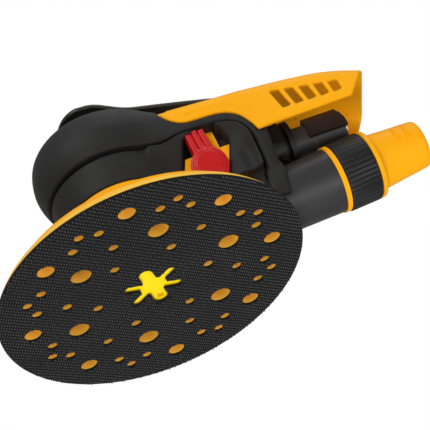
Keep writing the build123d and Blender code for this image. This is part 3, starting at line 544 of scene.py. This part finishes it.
def saddle_field(space):
    """Roof and sides of the saddle and the hood, rounded where they meet."""
    roof = space.side(through(ROOF) + [(145.0, 0.0), (0.0, 0.0)])
    half = SADDLE_HALF - np.maximum(space.x - 72.0, 0) * 0.0813
    side, corner = np.abs(space.y) - half, SADDLE_CORNER
    outer = np.hypot(np.maximum(roof + corner, 0), np.maximum(side + corner, 0))
    return np.minimum(np.maximum(roof, side) + corner, 0) + outer - corner


def hood_zone(space):
    """The side outline of everything above the hood's wavy edge."""
    wave = through(HOOD_WAVE)
    return space.side([(31.0, 110.0), (166.5, 110.0), (124.2, 55.0)] + wave + [(31.0, 84.0)])


def make_grip():
    space = Space((-40, -40, 16), (92, 40, 101), 0.55)
    head = space.lathe([(0.0, GROOVE[1])] + through(HEAD))
    saddle = saddle_field(space)
    layer = common(hood_zone(space) - 0.2, -(saddle + 2.4))
    arch = through(ARCH)
    rear = [(66.8, 16.0), (76.5, 16.0), (78.0, 46.0), (78.5, 110.0), (8.0, 110.0), (8.0, GROOVE[1])]
    half = 17.5 + 10.2 * ease(space.z, 26.0, 60.0)
    post = common(common(saddle, space.side(arch + rear), 1.5), np.abs(space.y) - half, 4.0)
    sleeve_side = space.side([(69.0, 19.0), (69.0, 46.0), (77.0, 44.0), (79.0, 30.0), (74.0, 19.0)])
    sleeve = common(space.rod(TUBE_PLACE, TUBE_AXIS, 17.7), sleeve_side, 3.0)
    grip = join(join(head, post, 9.0), sleeve, 5.0)
    grip = cut(grip, space.side([(-50.0, GROOVE[1])] + arch + [(66.0, 0.0), (-50.0, 0.0)]), 1.2)
    grip = cut(grip, layer, 0.6)
    lip = common(space.lathe([(0.0, 60.7), (29.2, 60.7), (29.2, 64.0), (0.0, 64.0)]), space.x - 21.0)
    grip = join(grip, lip)
    grip = cut(grip, space.lathe([(0.0, 0.0), (HOUSING_BORE_R, 0.0), (HOUSING_BORE_R, 88.3), (0.0, 88.3)]))
    grip = cut(grip, space.box((0, -13.7, 41), (90, 13.7, 74.3)))
    grip = cut(grip, space.rod(TUBE_PLACE, TUBE_AXIS, 16.5))
    return shell_piece("palm_grip_shell", grip, space, "housing", "palm_grip", "grip_rubber")


SHROUD_OUTLINE = [
    (0.0, 14.0), (50.2, 14.0), (50.2, 17.6), (33.2, 35.7), (30.0, 39.6), (30.0, 43.7), (0.0, 43.7),
]
BRACKET = [
    (32.9, 0.0), (32.9, 46.0), (35.6, 53.0), (44.2, 53.2), (44.2, 65.2),
    (54.2, 65.2), (54.2, 53.2), (59.4, 53.2), (52.6, 35.2), (52.6, 0.0),
]
POCKET = [
    (33.6, 0.0), (33.6, 46.0), (36.4, 54.0), (38.6, 59.6), (43.0, 61.2),
    (53.4, 61.6), (56.4, 58.6), (58.2, 54.0), (52.6, 39.0), (52.4, 0.0),
]


def make_lower_shell():
    space = Space((-36, -34, 16), (73, 34, 64), 0.5)
    head = space.lathe([(0.0, 44.0), (30.3, 44.0), (31.3, 52.0), (31.9, GROOVE[0]), (0.0, GROOVE[0])])
    line = []
    for x, z in through(ARCH):
        thin = 1.6 - 1.0 * ease(x, 26.0, 40.0)  # the groove's width
        line.append((x - thin * ease(x, 62.0, 69.0), z - thin * (1 - ease(x, 62.0, 69.0))))
    under = space.side([(-60.0, GROOVE[0])] + line + [(66.0, -60.0), (-60.0, -60.0)])
    dish = 1 - (1 - np.clip(-under / 16.0, 0, 1)) ** 2
    hollow = ease(space.x, 59.0, 66.0) * ease(-space.z, -52.0, -40.0)
    flank = np.abs(space.y) - (27.2 - 7.4 * dish - 3.6 * hollow)
    walls = common(common(flank, under, 0.8), space.box((22.0, -40.0, 33.0), (90.0, 40.0, 90.0)), 0.8)
    bulb = common(common(space.rod(TUBE_PLACE, TUBE_AXIS, 18.0), 58.5 - space.x, 10.0), under, 0.8)
    bulb = common(bulb, 20.5 - space.z, 1.0)
    shell = join(join(head, walls, 7.0), bulb, 3.0)
    pocket = np.maximum(space.side(POCKET) - 0.8, space.y + 16.0)
    shell = cut(shell, pocket, 1.6)
    shell = cut(shell, np.maximum(space.side(BRACKET), space.y))
    shell = cut(shell, space.lathe([(0.0, 0.0), (HOUSING_BORE_R, 0.0), (HOUSING_BORE_R, 90.0), (0.0, 90.0)]))
    shell = cut(shell, space.box((0, -13.8, 0), (66.5, 13.8, 90)))
    shell = cut(shell, space.lathe(SHROUD_OUTLINE), 0.4)
    shell = cut(shell, space.rod(TUBE_PLACE, TUBE_AXIS, 16.4))
    return shell_piece("lower_shell_skin", shell, space, "housing", "lower_shell", "grip_rubber")


LEVER_PIN = (80.0, 83.3)  # x, z
PIN_BORE_R = 1.55
EAR_R = 2.7
EAR_OUTER = 9.6  # y of the ears' outer faces
VENTS = 5
DIMPLES = ((101.8, 9.7, 76.6), (127.6, 13.9, 71.6), (128.2, -2.5, 71.4))


def vent_outline(index):
    """One of the hood's five slanted air slots, shorter towards the rear."""
    front = 86.6 + 7.35 * index
    lean = 2.9 - 0.6 * index
    top = 70.6 - 1.05 * index
    low = 58.6 + 0.35 * index
    return [(front, top), (front + 4.4, top - 0.3), (front + 4.2 + lean, low), (front + lean, low - 0.6)]


def make_hood():
    space = Space((29, -29, 46), (147, 29, 92), 0.5)
    saddle = saddle_field(space)
    zone = hood_zone(space)
    wave = through(HOOD_WAVE)
    beside = space.side(wave + [(31.0, 130.0), (200.0, 130.0), (200.0, -40.0), (76.0, -40.0), (76.0, 44.0)])
    on_side = ease(np.abs(space.y), 17.0, 22.0)
    step = 0.38 * (1 - ease(-beside, 3.9, 4.3)) + 0.22 * np.exp(-(((-beside - 4.1) / 0.4) ** 2))
    hood = common(saddle + step * on_side, zone, 0.9)
    hood = cut(hood, saddle + 2.2, 0.6)
    for index in range(VENTS):
        x, z = (sum(p[i] for p in vent_outline(index)) / 4 for i in (0, 1))
        narrow = [(x + (u - x) * 0.80, z + (v - z) * 0.90) for u, v in vent_outline(index)]
        hood = cut(hood, space.side(narrow) - 0.55 + 0 * space.y, 0.5)
    pin = space.rod((LEVER_PIN[0], 0, LEVER_PIN[1]), (0, 1, 0), EAR_R, -13.2, 13.2)
    ears = join(pin, space.box((77.3, -13.2, 77.0), (82.7, 13.2, LEVER_PIN[1])), 1.0)
    ears = common(ears, EAR_OUTER - np.abs(space.y), 0.6)
    hood = join(hood, common(ears, -(saddle + 1.0)), 1.5)
    hood = cut(hood, space.rod((LEVER_PIN[0], 0, LEVER_PIN[1]), (0, 1, 0), PIN_BORE_R))
    hood = cut(hood, space.rod((60.0, 0, 80.0), (0, 0, 1), 2.4, -12, 12))
    for side in (-9.0, 9.0):
        hood = cut(hood, space.rod((44.0, side, 84.0), (0, 0, 1), 3.1, 0.9, 9.0), 0.4)
        hood = cut(hood, space.rod((44.0, side, 84.0), (0, 0, 1), 1.5))
    for x, y, z in DIMPLES:
        hood = cut(hood, space.rod((x, y, z), (0, 0, 1), 0.9, -3.0, 1.4))
    hood = cut(hood, space.lathe([(0.0, 60.0), (37.0, 60.0), (37.0, 110.0), (0.0, 110.0)]), 0.4)
    return shell_piece("hood_shell", hood, space, "housing", "hood", "yellow_plastic")


# ---------------------------------------------------------------- pad

PAD_CENTRE = (0.0, -2.5)
PAD_R = 75.0
LARGE_RINGS = ((60.0, 8, 40.0, 4.2), (41.0, 6, 40.0, 5.0))  # radius, count, first angle, hole radius
SMALL_RINGS = ((27.6, 6, 55.0), (41.7, 6, 10.0), (56.0, 8, 10.0), (56.0, 8, 25.0), (61.0, 8, 17.5))
SMALL_HOLE_R = 2.4
HUB_R = 15.4
STAR_R = 14.2
STAR_ARMS = (  # angle, half width
    (76.0, 3.4), (256.0, 3.4), (17.0, 2.1), (137.0, 2.1), (197.0, 2.1), (320.0, 2.1),
)
RIM_DIMPLE = (158.0, 75.6, 3.6, 2.6)  # angle, distance from the pad's axis, z, radius


def pad_holes():
    """(x, y, radius) of every dust hole, from the pad's own axis."""
    rings = list(LARGE_RINGS) + [(*ring, SMALL_HOLE_R) for ring in SMALL_RINGS]
    holes = []
    for radius, count, first, hole in rings:
        for index in range(count):
            angle = math.radians(first + 360 / count * index)
            holes.append((radius * math.cos(angle), radius * math.sin(angle), hole))
    return holes


def make_foam():
    space = Space((-76, -78.5, 0.6), (76, 73.5, 10.2), 0.5)
    u, v = space.x - PAD_CENTRE[0], space.y - PAD_CENTRE[1]
    radius = np.hypot(u, v)
    holes = radius - HUB_R
    for x, y, hole in pad_holes():
        holes = np.minimum(holes, np.hypot(u - x, v - y) - hole)
    height = np.clip((space.z - 1.6) / 7.6, 0, 1)
    rim = (radius - 74.8 + 6.2 * height - 0.9 * np.sin(math.pi * height)) * 0.77
    slab = common(common(rim, space.z - 9.2, 3.0), 1.6 - space.z, 1.2)
    foam = cut(slab, holes, 0.5)
    turn, far, high, size = RIM_DIMPLE
    angle = math.radians(turn)
    across, along = u - far * math.cos(angle), v - far * math.sin(angle)
    dimple = np.sqrt(across**2 + along**2 + (space.z - high) ** 2)
    foam = cut(foam, dimple - size, 0.4)
    piece = shell_piece("pad_cushion", foam, space, "pad", "pad_foam", "pad_foam", smooth=1)


PILE = 0.75  # length of the hooks
HOOK_LEVELS = (  # height, shift along the hook's lean, half size
    (PILE + 0.05, 0.0, 0.27), (0.34, 0.0, 0.23), (0.10, 0.04, 0.30), (0.03, 0.10, 0.22),
)
HOOK_PITCH = 1.4
HOOK_ROWS = 2.0
HOOK_TURN = 39.2  # degrees that the rows lie turned from +X


def make_hook_face():
    """The hook fabric: its woven ground, and its hooks in slanted rows."""
    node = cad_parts["hook_face"]
    ground = bpy.data.objects.new("hook_ground", node.data.copy())
    ground.matrix_world = node.matrix_world.copy()
    link(ground)
    for corner in ground.data.vertices:
        if corner.co.z < 0.0004:
            corner.co.z = PILE * MM
    dress_piece(ground, "pad", ("hook_face",), "pad_fleece")
    rng = np.random.default_rng(7)
    count = int(PAD_R / HOOK_PITCH) + 4
    i, j = np.meshgrid(np.arange(-count, count), np.arange(-count, count), indexing="ij")
    turn = math.radians(HOOK_TURN)
    across, along = (i + 0.5 * (j % 2)).ravel() * HOOK_PITCH, j.ravel() * HOOK_ROWS
    x = across * math.cos(turn) - along * math.sin(turn)
    y = across * math.sin(turn) + along * math.cos(turn)
    free = np.hypot(x, y) < PAD_R - 0.35
    for hx, hy, hole in pad_holes():
        free &= np.hypot(x - hx, y - hy) > hole + 0.1
    free &= np.hypot(x, y) > 6.8
    for angle, half in STAR_ARMS:
        a = math.radians(angle)
        ahead, beside = x * math.cos(a) + y * math.sin(a), -x * math.sin(a) + y * math.cos(a)
        free &= ~((ahead > 0) & (ahead < STAR_R + 0.2) & (np.abs(beside) < half + 0.2))
    x, y = x[free], y[free]
    x += rng.uniform(-0.12, 0.12, len(x))
    y += rng.uniform(-0.12, 0.12, len(x))
    lean = turn + rng.uniform(-0.5, 0.5, len(x))
    corners = []
    for height, shift, size in HOOK_LEVELS:
        for quarter in range(4):
            a = lean + math.pi / 2 * quarter
            px = x + shift * np.cos(lean) + size * np.cos(a)
            py = y + shift * np.sin(lean) + size * np.sin(a)
            corners.append(np.stack([px, py + PAD_CENTRE[1], np.full(len(x), height)], axis=1))
    corners = np.stack(corners, axis=1).reshape(-1, 3)
    start = 16 * np.arange(len(x))[:, None]
    faces = []
    for level in range(3):
        for quarter in range(4):
            a, b = 4 * level + quarter, 4 * level + (quarter + 1) % 4
            faces.append(start + [b, a, a + 4, b + 4])
    faces += [start + [0, 1, 2, 3], start + [15, 14, 13, 12]]
    mesh = bpy.data.meshes.new("hook_pile")
    mesh.from_pydata((corners * MM).tolist(), [], np.vstack(faces).tolist())
    pile = bpy.data.objects.new("hook_pile", mesh)
    link(pile)
    mesh.shade_smooth()
    pile.data.materials.append(materials["hook_fibre"])
    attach(pile, "pad")
    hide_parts("hook_face")


# ---------------------------------------------------------------- controls

SPEED_AXIS = (45.2, 41.8)  # x, z
SPEED_FACE = -19.9  # y of the red lever's back
SPEED_LEAN = 3.0  # degrees that the handle leans forward


def make_speed_lever():
    x, z = SPEED_AXIS
    space = Space((33, -28, 28), (58, -18, 66), 0.35)
    sloped = space.y - 0.30 * (z - space.z)
    lean = math.radians(SPEED_LEAN)

    def disc(radius, front):
        whole = space.rod((x, 0, z), (0, 1, 0), radius)
        return common(whole, np.maximum(front - sloped, space.y - SPEED_FACE), 0.5)

    def bar(left, right, reach, front, soft):
        corners = [(left, 6.0), (right, 6.0), (right * 0.92, reach), (left * 0.92, reach)]
        turned_to = [
            (x + u * math.cos(lean) - v * math.sin(lean), z + u * math.sin(lean) + v * math.cos(lean))
            for u, v in corners
        ]
        return common(space.side(turned_to), np.maximum(front - space.y, space.y - SPEED_FACE), soft)

    lever = join(disc(9.2, -23.1), bar(-5.2, 5.2, 20.6, -24.2, 1.0), 1.2)
    for middle, reach in ((-3.5, 20.2), (0.2, 21.3), (3.7, 20.6)):
        lever = join(lever, bar(middle - 1.6, middle + 1.6, reach, -25.7, 1.2), 0.4)
    lever = join(lever, disc(7.9, -23.9), 0.3)
    lever = join(lever, disc(6.4, -24.5), 0.3)
    shell_piece("speed_lever_red", lever, space, "speed_control", "speed_lever", "red_lever", smooth=1)


PADDLE = (  # x, z along the middle of the paddle, from its pin to its tip
    (79.0, 84.9), (67.0, 90.0), (50.0, 95.3), (33.0, 100.1), (20.0, 103.5),
    (8.0, 106.1), (0.0, 107.1), (-8.0, 107.3), (-15.5, 106.1),
)
PADDLE_R = 16.5
PADDLE_BORE_R = 1.8


def make_paddle():
    space = Space((-17, -18, 81), (85, 18, 110), 0.5)
    middle = through(PADDLE)
    side = space.side([(x, z + 1.3) for x, z in middle] + [(x, z - 1.3) for x, z in reversed(middle)])
    width = 9.0 + 7.0 * (1 - ease(space.x, 3.0, 27.0)) ** 1.3
    round_end = np.hypot(space.x - 1.5, space.y) - PADDLE_R - 200.0 * (space.x > 1.5)
    spoon = common(np.abs(space.y) - width, round_end)
    paddle = common(side, spoon, 0.9)
    boss = common(space.rod((LEVER_PIN[0], 0, LEVER_PIN[1]), (0, 1, 0), 3.0), np.abs(space.y) - 9.0, 0.6)
    paddle = join(paddle, boss, 1.5)
    paddle = cut(paddle, space.rod((LEVER_PIN[0], 0, LEVER_PIN[1]), (0, 1, 0), PADDLE_BORE_R))
    shell_piece("paddle", paddle, space, "paddle", "throttle_lever", "paddle_black", smooth=1)


# ---------------------------------------------------------------- dust outlet


def turned(name, profile, columns, body, node, material, swell=None):
    """A ring turned round the dust tube's axis. The profile closes on itself, as (along, radius)."""
    axis = np.array(TUBE_AXIS) / np.linalg.norm(TUBE_AXIS)
    over = np.array([-axis[2], 0.0, axis[0]])
    angle = np.arange(columns) * 2 * math.pi / columns
    corners = []
    for along, radius in profile:
        r = radius + (swell(along, radius, np.arange(columns)) if swell else 0.0)
        side = np.outer(r * np.cos(angle), (0.0, -1.0, 0.0)) + np.outer(r * np.sin(angle), over)
        corners.append(np.array(TUBE_PLACE) + along * axis + side)
    corners = np.vstack(corners)
    rows = len(profile)
    faces = []
    for row in range(rows):
        first, second = row * columns, (row + 1) % rows * columns
        for c in range(columns):
            after = (c + 1) % columns
            faces.append((first + c, first + after, second + after, second + c))
    mesh = bpy.data.meshes.new(name)
    mesh.from_pydata((corners * MM).tolist(), [], faces)
    piece = bpy.data.objects.new(name, mesh)
    link(piece)
    shape = bmesh.new()
    shape.from_mesh(mesh)
    bmesh.ops.recalc_face_normals(shape, faces=shape.faces)
    shape.to_mesh(mesh)
    shape.free()
    mesh.shade_smooth()
    mesh.set_sharp_from_angle(angle=math.radians(32))
    dress_piece(piece, body, (node,), material)
    return piece


COLLAR_R = 17.4
COLLAR_RIBS = 44


def make_collar():
    def ribs(along, radius, column):
        groove = np.where(column % 8 == 7, 0.42, np.where(np.isin(column % 8, (0, 6)), 0.08, 0.0))
        return -groove * (radius > 16.5)

    profile = [(0.7, 14.3), (0.7, 16.6), (1.0, 17.2), (1.5, COLLAR_R), (8.8, COLLAR_R)]
    profile += [(16.4, COLLAR_R), (16.9, 17.2), (17.2, 16.6), (17.2, 14.3), (9.0, 14.3)]
    turned("collar_ribbed", profile, 8 * COLLAR_RIBS, "collar", "collar_nut", "black_plastic", ribs)


def make_nozzle():
    profile = [(-8.0, 10.4), (-8.0, 12.9), (17.35, 12.9), (17.4, 16.9), (17.8, 17.3), (19.4, 17.1)]
    profile += [(19.9, 16.6), (20.1, 15.2), (20.8, 14.4), (22.0, 14.0), (32.0, 13.1), (40.0, 12.5)]
    profile += [(44.0, 12.1), (45.6, 11.8)]
    profile += [(46.3, 11.3), (46.5, 10.8), (46.3, 10.4), (30.0, 10.4)]

    turned("nozzle_moulding", profile, 96, "spout", "nozzle", "yellow_plastic")


def make_nozzle_ribs():
    """Two short ribs on each side of the nozzle, to hold a hose cuff."""
    axis = np.array(TUBE_AXIS) / np.linalg.norm(TUBE_AXIS)
    over = np.array([-axis[2], 0.0, axis[0]])
    for side in (-1, 1):
        for number, (along, radius) in enumerate(((33.6, 13.15), (39.1, 12.7))):
            curve = bpy.data.curves.new("rib", "CURVE")
            curve.dimensions = "3D"
            curve.bevel_depth = 0.8 * MM
            curve.bevel_resolution = 3
            curve.use_fill_caps = True
            line = curve.splines.new("POLY")
            line.points.add(12)
            for index, point in enumerate(line.points):
                angle = math.radians(9.5 + 14.5 * (index / 6 - 1))
                place = np.array(TUBE_PLACE) + along * axis + radius * math.sin(angle) * over
                place[1] += side * radius * math.cos(angle)
                point.co = (*(place * MM), 1.0)
            holder = bpy.data.objects.new(f"nozzle_rib_{number}_{'near' if side < 0 else 'far'}", curve)
            link(holder)
            view = bpy.context.evaluated_depsgraph_get()
            mesh = bpy.data.meshes.new_from_object(holder.evaluated_get(view))
            rib = bpy.data.objects.new(holder.name + "_moulded", mesh)
            bpy.data.objects.remove(holder)
            link(rib)
            mesh.shade_smooth()
            dress_piece(rib, "spout", (), "yellow_plastic")


# ---------------------------------------------------------------- the whole tool

materials = make_materials()
make_camera()
make_studio()
for finish, names in FINISHES.items():
    for name in names.split():
        dress(name, materials[finish])
make_grip()
make_lower_shell()
make_hood()
make_foam()
make_hook_face()
make_speed_lever()
make_paddle()
make_collar()
make_nozzle()
make_nozzle_ribs()
bpy.context.scene.view_settings.view_transform = "Standard"
